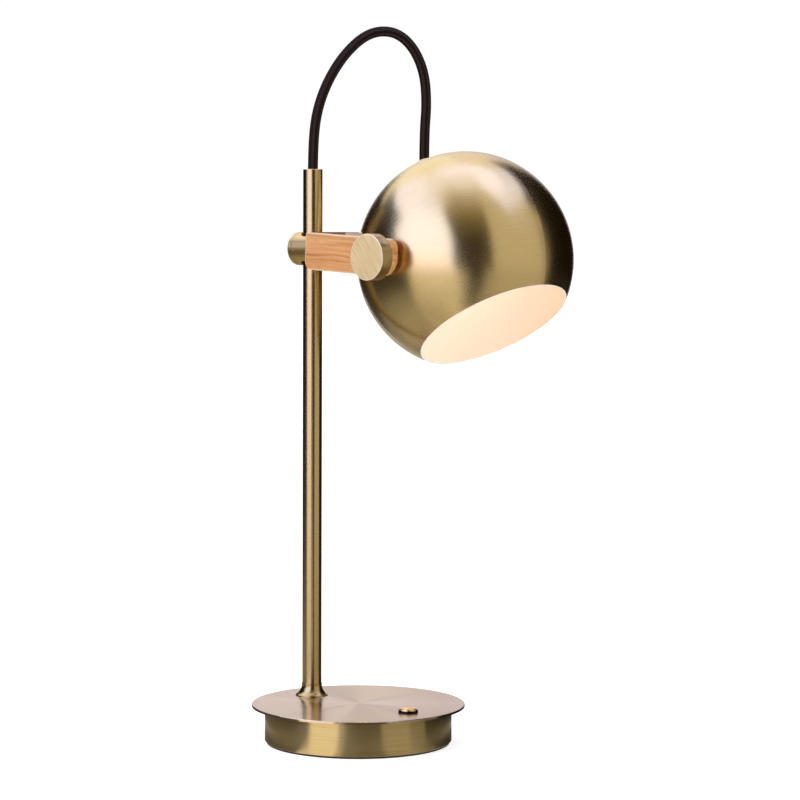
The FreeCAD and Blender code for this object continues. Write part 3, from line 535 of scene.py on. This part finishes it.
def wood_finish():
    """Oiled pale hardwood with its grain along the arm."""
    finish = Finish("oiled_wood")
    lay = finish.node("ShaderNodeMapping", vector_type="POINT")
    lay.inputs["Rotation"].default_value = (0.0, -ARM_DIP, 0.0)
    finish.link(finish.object_point(), lay.inputs["Vector"])
    along_arm = lay.outputs["Vector"]
    sway = finish.noise(finish.vector("MULTIPLY", along_arm, SWAY_SCALES), 1.0, 2.0)
    drift = finish.vector("SCALE", UPRIGHT, scale=finish.math("MULTIPLY", sway, GRAIN_SWAY))
    swayed = finish.vector("ADD", along_arm, drift)
    rings = finish.noise(finish.vector("MULTIPLY", swayed, RING_SCALES), 1.0, 4.0, 0.62)
    streaks = finish.noise(finish.vector("MULTIPLY", swayed, STREAK_SCALES), 1.0, 4.0, 0.7)
    pores = finish.noise(finish.vector("MULTIPLY", swayed, PORE_SCALES), 1.0, 2.0, 0.6)
    grain = finish.math("ADD", finish.math("MULTIPLY", rings, RINGS_SHARE),
                        finish.math("MULTIPLY", streaks, 1.0 - RINGS_SHARE))
    pore = finish.ramp(pores, PORE_STOPS)
    in_pore = finish.math("MULTIPLY", pore, PORE_SHARE)
    colour = finish.mix(in_pore, finish.ramp(grain, GRAIN_STOPS), PORE_BROWN)
    # Painted highlight: paler near the top and bottom edges and the end at the clamp, where the edges
    # catch the light
    offset = finish.vector("SUBTRACT", finish.object_point(), PIVOT)
    height = finish.vector("DOT_PRODUCT", offset, (math.sin(ARM_DIP), 0.0, math.cos(ARM_DIP)))
    length = finish.vector("DOT_PRODUCT", offset, (math.cos(ARM_DIP), 0.0, -math.sin(ARM_DIP)))
    past_top = finish.math("SUBTRACT", finish.math("ABSOLUTE", height), WOOD_HALF_HEIGHT)
    past_end = finish.math("SUBTRACT", WOOD_START, length)
    past_edge = finish.math("MAXIMUM", past_top, past_end)
    edge_highlight = finish.between(past_edge, 0.0, 1.0, EDGE_HIGHLIGHT_START, EDGE_HIGHLIGHT_END)
    finish.feed(finish.mix(finish.math("MULTIPLY", edge_highlight, EDGE_HIGHLIGHT_SHARE), colour, EDGE_PAINTED_HIGHLIGHT), "Base Color")
    finish.feed(finish.between(grain, 0.5, 0.42), "Roughness")
    relief = finish.math("SUBTRACT", grain, finish.math("MULTIPLY", pore, PORE_SINK))
    finish.bump(relief, GRAIN_STRENGTH, GRAIN_DEPTH)
    finish.set(specular_ior_level=0.25)
    return finish


dress("wood_arm", wood_finish())


# Plain finishes: two tones each
PLAIN_PATCH_SCALE = 40.0
PLAIN_UNEVEN = 0.08
SPECK_STRENGTH = 0.08
SPECK_DEPTH = 0.0001
BLACK = ((0.006, 0.0055, 0.005), (0.011, 0.01, 0.0095))
RUBBER = ((0.014, 0.013, 0.012), (0.02, 0.019, 0.018))
BROWNED = ((0.23, 0.1, 0.04), (0.3, 0.14, 0.06))
STEEL = ((0.5, 0.5, 0.52), (0.6, 0.6, 0.61))
CAST = ((0.1, 0.1, 0.105), (0.15, 0.15, 0.155))
GREEN = ((0.02, 0.12, 0.05), (0.03, 0.16, 0.07))
WHITE = ((0.78, 0.77, 0.73), (0.84, 0.83, 0.8))
BLUE = ((0.03, 0.09, 0.28), (0.04, 0.11, 0.34))
RED_BROWN = ((0.2, 0.07, 0.04), (0.28, 0.1, 0.06))
FROST = ((0.95, 0.88, 0.78), (0.98, 0.93, 0.85))


def plain_finish(name, tones, roughness=0.5, metallic=0.0):
    """Moulded or cast surface with soft patches and fine specks."""
    finish = Finish(name)
    wear = finish.group(HANDLING, Vector=finish.object_point(), Scale=PLAIN_PATCH_SCALE)
    specks = wear.outputs["Specks"]
    finish.feed(finish.mix(wear.outputs["Patches"], *tones), "Base Color")
    rough = finish.between(specks, roughness - PLAIN_UNEVEN, roughness + PLAIN_UNEVEN)
    finish.feed(rough, "Roughness")
    finish.bump(specks, SPECK_STRENGTH, SPECK_DEPTH)
    finish.set(metallic=metallic)
    return finish


for name, tones, roughness, metallic, nodes in (
        ("black_plastic_switch", BLACK, 0.5, 0.0, ("push_switch",)),
        ("black_plastic_liner", BLACK, 0.5, 0.0, ("clamp_liner",)),
        ("black_rubber", RUBBER, 0.8, 0.0, ("foot_pad",)),
        ("black_rubber_bush", RUBBER, 0.75, 0.0, ("end_bush",)),
        ("browned_steel", BROWNED, 0.42, 0.6, ("arm_spine",)),
        ("plain_steel", STEEL, 0.35, 1.0,
         ("bottom_cover", "cover_screws", "board_screws", "usb_socket", "post_washer", "post_nut",
          "spine_screws", "nose_screws", "spindle_nut", "gland_nut", "bulb_cap")),
        ("cast_ballast", CAST, 0.6, 0.7, ("ballast_plate",)),
        ("board_plastic", GREEN, 0.4, 0.0, ("control_board", "socket_board")),
        ("white_plastic", WHITE, 0.35, 0.0, ("board_spacers", "holder_core")),
        ("battery_wrap", BLUE, 0.35, 0.0, ("battery_pack",)),
        ("lead_jacket", BLACK, 0.5, 0.0, ("post_lead",)),
        ("fibre", RED_BROWN, 0.8, 0.0, ("friction_washer", "spindle_pad"))):
    plain = plain_finish(name, tones, roughness, metallic)
    for node in nodes:
        dress(node, plain)
lit_glass = plain_finish("frosted_glass", FROST, roughness=0.4)
lit_glass.set(emission_color=(1.0, 0.82, 0.66, 1.0), emission_strength=7.0)
dress("bulb_glass", lit_glass)

# Cord: the route's points, in its own upright plane from the post to the gland
CORD_START = Vector((POST_X, 0.0, 0.396))
CORD_END = SHADE_CENTRE + SHADE_AXIS * (SHADE_RADIUS + 0.0016)
CORD_RISES = (0.0236, 0.0476, 0.0694, 0.09, 0.1046, 0.1062, 0.0962, 0.0776, 0.0554, 0.0332)
CORD_REACHES = (0.0, 0.0026, 0.0105, 0.0239, 0.0411, 0.0596, 0.0736, 0.0826, 0.0846, 0.0828)
ROUTE_DETAIL = 60

# Braid, in metres; a yarn's section is given in shares of its half width and height
BRAID_CARRIERS = 12
BRAID_LAY = 0.02
BRAID_RADIUS = 0.0034
BRAID_WAVE = 0.00012
BRAID_CORE = 0.00318
CORE_SIDES = 12
CORE_EVERY = 6
YARN_WIDTH = 0.00058
YARN_HEIGHT = 0.00012
YARN = ((-1.0, -0.3), (-0.5, 1.0), (0.5, 1.0), (1.0, -0.3), (0.0, -1.1))
DARK_YARN = ((0.003, 0.0012, 0.001), (0.012, 0.0055, 0.0045))
LIGHT_YARN = ((0.014, 0.0075, 0.0065), (0.05, 0.029, 0.025))
FIBRE_SCALE = 300.0


def yarn_finish(name, tones):
    """Black-brown textile yarn."""
    finish = Finish(name)
    wear = finish.group(HANDLING, Vector=finish.object_point(), Scale=FIBRE_SCALE)
    finish.feed(finish.mix(wear.outputs["Specks"], *tones), "Base Color")
    finish.feed(finish.between(wear.outputs["Patches"], 0.55, 0.7), "Roughness")
    finish.set(specular_ior_level=0.12, specular_tint=(1.0, 0.8, 0.62, 1.0))
    return finish


def cord_line():
    """Points of the smooth line through the cord's route, and the way square to its plane."""
    across = ((CORD_END - CORD_START) * Vector((1.0, 1.0, 0.0))).normalized()
    points = [CORD_START]
    for reach, rise in zip(CORD_REACHES, CORD_RISES):
        points.append(CORD_START + across * reach + UPRIGHT * rise)
    points.append(CORD_END)
    route = bpy.data.curves.new("cord_route", "CURVE")
    route.dimensions = "3D"
    route.resolution_u = ROUTE_DETAIL
    spline = route.splines.new("NURBS")
    spline.points.add(len(points) - 1)
    for knot, place in zip(spline.points, points):
        knot.co = (*place, 1.0)
    spline.order_u = 3
    spline.use_endpoint_u = True
    holder = bpy.data.objects.new("cord_route", route)
    mesh = bpy.data.meshes.new_from_object(holder)
    line = [vertex.co.copy() for vertex in mesh.vertices]
    bpy.data.objects.remove(holder)
    bpy.data.curves.remove(route)
    bpy.data.meshes.remove(mesh)
    return line, across.cross(UPRIGHT)


def stations_on(line, side):
    """Place, way, two ways across and the length so far, at each point of the line."""
    stations = []
    travel = 0.0
    for index, place in enumerate(line):
        before = line[max(index - 1, 0)]
        after = line[min(index + 1, len(line) - 1)]
        way = (after - before).normalized()
        stations.append((place, way, side, way.cross(side), travel))
        travel += (after - place).length
    return stations


def add_tube(verts, faces, rings):
    """Closed tube through rings of points."""
    first = len(verts)
    sides = len(rings[0])
    for ring in rings:
        verts.extend(ring)
    for row in range(len(rings) - 1):
        for side in range(sides):
            a = first + row * sides + side
            b = first + row * sides + (side + 1) % sides
            faces.append((a, b, b + sides, a + sides))
    faces.append(tuple(first + side for side in reversed(range(sides))))
    faces.append(tuple(len(verts) - sides + side for side in range(sides)))


def round_point(right, up, turns):
    """Way from the cord's line at a number of turns round it."""
    return right * math.cos(math.tau * turns) + up * math.sin(math.tau * turns)


def yarn_rings(stations, hand, carrier):
    """Sections of one yarn that climbs round the core, over two others and then under two."""
    climb = math.atan2(math.tau * BRAID_RADIUS, BRAID_LAY)
    rings = []
    for place, way, right, up, run in stations:
        turns = hand * run / BRAID_LAY + carrier / BRAID_CARRIERS
        crossing = 2 * carrier + hand * 2 * BRAID_CARRIERS * run / BRAID_LAY
        lift = hand * math.cos(math.tau * (crossing - 0.5) / 4) * BRAID_WAVE
        out = round_point(right, up, turns)
        round_way = round_point(up, -right, turns) * hand
        across = round_way * math.cos(climb) - way * math.sin(climb)
        middle = place + out * (BRAID_RADIUS + lift)
        rings.append([middle + across * (wide * YARN_WIDTH) + out * (high * YARN_HEIGHT)
                      for wide, high in YARN])
    return [ring[::hand] for ring in rings]


def make_cord():
    """Braid of 24 flat yarns on a dark core, 12 dark ones one way round and 12 lighter ones back."""
    line, side = cord_line()
    stations = stations_on(line, side)
    verts, faces = [], []
    core = []
    for place, _, right, up, _ in stations[::CORE_EVERY] + [stations[-1]]:
        core.append([place + round_point(right, up, step / CORE_SIDES) * BRAID_CORE
                     for step in range(CORE_SIDES)])
    add_tube(verts, faces, core)
    for hand in (1, -1):
        light_start = len(faces)
        for carrier in range(BRAID_CARRIERS):
            add_tube(verts, faces, yarn_rings(stations, hand, carrier))
    mesh = bpy.data.meshes.new("textile_cord")
    mesh.from_pydata(verts, [], faces)
    mesh.materials.append(yarn_finish("braided_cord", DARK_YARN).material)
    mesh.materials.append(yarn_finish("braided_cord_light", LIGHT_YARN).material)
    for index, face in enumerate(mesh.polygons):
        face.use_smooth = True
        face.material_index = int(index >= light_start)
    cord = bpy.data.objects.new("textile_cord", mesh)
    scene.collection.objects.link(cord)
    cord.visible_glossy = False
    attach(cord, "base")
    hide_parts("shade_cord")


make_cord()


# Studio: white floor, lamps, and cards that only the metal sees

STUDIO_CENTRE = Vector((0.0, 0.04, 0.25))
WORLD_LIGHT = 0.75
WORLD_SEEN = 1.02
FLOOR_RADIUS = 30.0
FLOOR_GLOW = 0.57
CARD_STEPS = 12
CARD_ROWS = 6
CARD_LOWEST = 0.004
RING_STEPS = 24

# Colours of the cards
DARK = (1.0, 0.55, 0.2)
LOW_SOFTBOX = (1.0, 0.97, 1.45)
SOFTBOX = (1.0, 1.16, 2.15)
PALE = (1.0, 1.12, 2.1)
OVERHEAD = (1.0, 1.1, 1.8)
GOLD = (1.0, 1.04, 1.0)
AMBER = (1.0, 0.85, 0.4)
WARM = (1.0, 0.97, 0.9)
WINDOW = (1.0, 0.96, 1.0)
LOW_WINDOW = (1.0, 0.94, 1.02)


def seen_rays(tree):
    """One where a camera, glossy or transmission ray looks."""
    path = tree.node("ShaderNodeLightPath")
    camera_or_gloss = tree.math("MAXIMUM", path.outputs["Is Camera Ray"], path.outputs["Is Glossy Ray"])
    return tree.math("MAXIMUM", camera_or_gloss, path.outputs["Is Transmission Ray"])


def light_world():
    """White where it is seen, and an even light on everything."""
    world = bpy.data.worlds.new("white_studio")
    scene.world = world
    world.use_nodes = True
    tree = NodeTree(world.node_tree)
    background = tree.nodes["Background"]
    background.inputs["Color"].default_value = (1.0, 1.0, 1.0, 1.0)
    tree.link(tree.between(seen_rays(tree), WORLD_LIGHT, WORLD_SEEN), background.inputs["Strength"])


def lay_floor():
    """Large white floor that keeps the lamp's soft shadow."""
    mesh = bpy.data.meshes.new("floor")
    shape = bmesh.new()
    bmesh.ops.create_circle(shape, cap_ends=True, radius=FLOOR_RADIUS, segments=64)
    shape.to_mesh(mesh)
    shape.free()
    floor = bpy.data.objects.new("floor", mesh)
    scene.collection.objects.link(floor)
    finish = Finish("white_floor")
    finish.set(base_color=(0.88, 0.88, 0.88, 1.0), roughness=0.9, emission_color=(1.0, 1.0, 1.0, 1.0))
    finish.feed(finish.math("MULTIPLY", seen_rays(finish), FLOOR_GLOW), "Emission Strength")
    mesh.materials.append(finish.material)


def hang_card(name, shape, colour, strength):
    """A card that is seen in reflections only."""
    mesh = bpy.data.meshes.new(name)
    shape.to_mesh(mesh)
    shape.free()
    card = bpy.data.objects.new(name, mesh)
    scene.collection.objects.link(card)
    material = bpy.data.materials.new(name)
    material.use_nodes = True
    nodes = material.node_tree.nodes
    nodes.remove(nodes["Principled BSDF"])
    glow = nodes.new("ShaderNodeEmission")
    glow.inputs["Color"].default_value = (*colour, 1.0)
    glow.inputs["Strength"].default_value = strength
    material.node_tree.links.new(glow.outputs[0], nodes["Material Output"].inputs["Surface"])
    mesh.materials.append(material)
    card.visible_camera = False
    card.visible_diffuse = False
    card.visible_shadow = False
    card.visible_transmission = False


def studio_way(turn, rise):
    """Direction from the lamp, turned from the camera to the right and raised."""
    turn, rise = math.radians(turn), math.radians(rise)
    way = VIEW_BACK * math.cos(turn) + VIEW_RIGHT * math.sin(turn)
    return way * math.cos(rise) + UPRIGHT * math.sin(rise)


def between_ends(start, end, steps):
    """Evenly spaced values, both ends among them."""
    return [start + (end - start) * step / steps for step in range(steps + 1)]


def grid_card(name, rows, colour, strength):
    """Card through rows of points."""
    shape = bmesh.new()
    grid = [[shape.verts.new(place) for place in row] for row in rows]
    for below, above in zip(grid, grid[1:]):
        for left in range(len(below) - 1):
            shape.faces.new((below[left], below[left + 1], above[left + 1], above[left]))
    hang_card(name, shape, colour, strength)


def curved_card(name, start, end, low, high, colour, strength, distance):
    """Card bent round the lamp, between two turns and two rises in degrees."""
    rows = []
    for rise in between_ends(low, high, CARD_ROWS):
        row = [STUDIO_CENTRE + studio_way(turn, rise) * distance
               for turn in between_ends(start, end, CARD_STEPS)]
        for place in row:
            place.z = max(place.z, CARD_LOWEST)
        rows.append(row)
    grid_card(name, rows, colour, strength)


def ring_card(name, start, end, low, high, strength):
    """Part of a ring round the base, between two turns; low and high are a radius and a height each."""
    rows = []
    for radius, height in (low, high):
        rows.append([studio_way(turn, 0.0) * radius + UPRIGHT * height
                     for turn in between_ends(start, end, RING_STEPS)])
    grid_card(name, rows, WARM, strength)


def hang_lamp(name, turn, rise, distance, size, power, colour):
    """Soft lamp round the object; the cards stand for it in the metal."""
    lamp = bpy.data.lights.new(name, "AREA")
    lamp.shape = "SQUARE"
    lamp.size = size
    lamp.energy = power
    lamp.color = colour
    way = studio_way(turn, rise)
    holder = bpy.data.objects.new(name, lamp)
    scene.collection.objects.link(holder)
    holder.location = STUDIO_CENTRE + way * distance
    holder.rotation_mode = "QUATERNION"
    holder.rotation_quaternion = (-way).to_track_quat("-Z", "Y")
    holder.visible_glossy = False


light_world()
lay_floor()

# Cards: turns and rises in degrees, colour, strength, and distance in metres
for name, start, end, low, high, colour, strength, distance in (
        ("left_softbox_foot", -63, -12, -8, -2, LOW_SOFTBOX, 1.6, 2.2),
        ("left_softbox", -65, -12, -2, 8, LOW_SOFTBOX, 2.1, 2.2),
        ("left_softbox_middle", -82, -13, 8, 23, SOFTBOX, 1.72, 2.2),
        ("left_softbox_upper", -87, -18, 23, 38, SOFTBOX, 1.75, 2.2),
        ("left_softbox_top", -77, -24, 38, 47, SOFTBOX, 1.65, 2.2),
        ("left_softbox_head", -77, -30, 47, 54, SOFTBOX, 1.5, 2.2),
        ("left_softbox_crown", -77, -36, 54, 62, SOFTBOX, 1.3, 2.2),
        ("back_left_edge", -176, -138, 26, 62, GOLD, 1.4, 2.3),
        ("back_left_softbox", -138, -77, 38, 62, PALE, 1.55, 2.3),
        ("side_overhead", 60, 225, 62, 79, PALE, 1.7, 2.3),
        ("left_overhead", -135, -60, 62, 79, OVERHEAD, 1.4, 2.3),
        ("front_overhead", -45, 60, 68, 79, WARM, 0.85, 2.25),
        ("crown", -180, 180, 79, 89.5, OVERHEAD, 1.4, 2.3),
        ("right_arch", 60, 122, 47, 62, PALE, 1.3, 2.3),
        ("right_arch_front", 29, 60, 47, 68, WARM, 0.75, 2.4),
        ("right_softbox", 28, 87, -8, 47, WARM, 0.76, 2.4),
        ("right_shoulder", 87, 100, 26, 47, WARM, 0.72, 2.35),
        ("right_softbox_step", 87, 93, -8, 47, WARM, 0.5, 2.4),
        ("right_softbox_edge", 93, 98, -8, 47, WARM, 0.2, 2.4),
        ("front_card", -13, 28, -8, 30, DARK, 0.03, 2.15),
        ("front_step", -24, 28, 30, 47, AMBER, 0.14, 2.25),
        ("front_slope", -32, 29, 47, 58, AMBER, 0.36, 2.15),
        ("front_crown", -32, 29, 58, 68, WARM, 0.5, 2.15),
        ("left_flag", -165, -63, -8, 8, DARK, 0.012, 2.5),
        ("left_flag_top", -165, -77, 8, 38, DARK, 0.012, 2.5),
        ("right_flag", 95, 162, -8, 49, DARK, 0.008, 2.5),
        ("right_flag_top", 122, 150, 49, 62, PALE, 1.2, 2.5),
        ("back_card", 157, 211, 27, 62, WINDOW, 1.2, 2.5),
        ("back_window", 160, 196, -8, 27, LOW_WINDOW, 0.87, 2.6)):
    curved_card(name, start, end, low, high, colour, strength, distance)

# Table as the metal sees it: sectors with a strength near, in the middle and far
TABLE_HEIGHT = 0.003
TABLE_RINGS = (("near", 0.1, 0.33), ("middle", 0.33, 0.62), ("far", 0.62, 2.9))
for name, start, end, *strengths in (
        ("front_left", -62, -5, 0.6, 0.8, 0.95),
        ("front", -5, 6, 1.2, 0.9, 0.6),
        ("front_gap", 6, 24, 0.35, 0.06, 0.02),
        ("front_right", 24, 94, 0.4, 0.55, 0.62),
        ("right", 94, 160, 0.08, 0.05, 0.03),
        ("back", 160, 200, 0.25, 0.4, 0.6),
        ("back_left", 200, 298, 0.5, 0.34, 0.04)):
    for (place, inner, outer), strength in zip(TABLE_RINGS, strengths):
        ring_card("table_" + place + "_" + name, start, end, (inner, TABLE_HEIGHT),
                  (outer, TABLE_HEIGHT), strength)

# Low strip round the drum, up to the disc, and the table between drum and strip
STRIP_RADIUS = 0.1
STRIP_TOP = 0.0265
STRIP_INSIDE = (0.0655, 0.0012)
for name, start, end, strength in (
        ("left", -180, -41, 0.1),
        ("front_left", -41, -15, 1.12),
        ("front_step", -15, -10, 0.4),
        ("front", -10, 20, 0.13),
        ("front_right", 20, 46, 0.38),
        ("right", 46, 62, 0.22),
        ("back_right", 62, 92, 0.02),
        ("back", 92, 180, 0.02)):
    ring_card("drum_strip_" + name, start, end, (STRIP_RADIUS, TABLE_HEIGHT),
              (STRIP_RADIUS, STRIP_TOP), strength)
    ring_card("drum_table_" + name, start, end, STRIP_INSIDE, (STRIP_RADIUS, STRIP_INSIDE[1]), strength)

hang_lamp("key_lamp", -48, 38, 2.0, 1.0, 9.0, (1.0, 0.97, 0.93))
hang_lamp("fill_lamp", 60, 25, 2.2, 1.2, 5.0, (1.0, 0.98, 0.95))
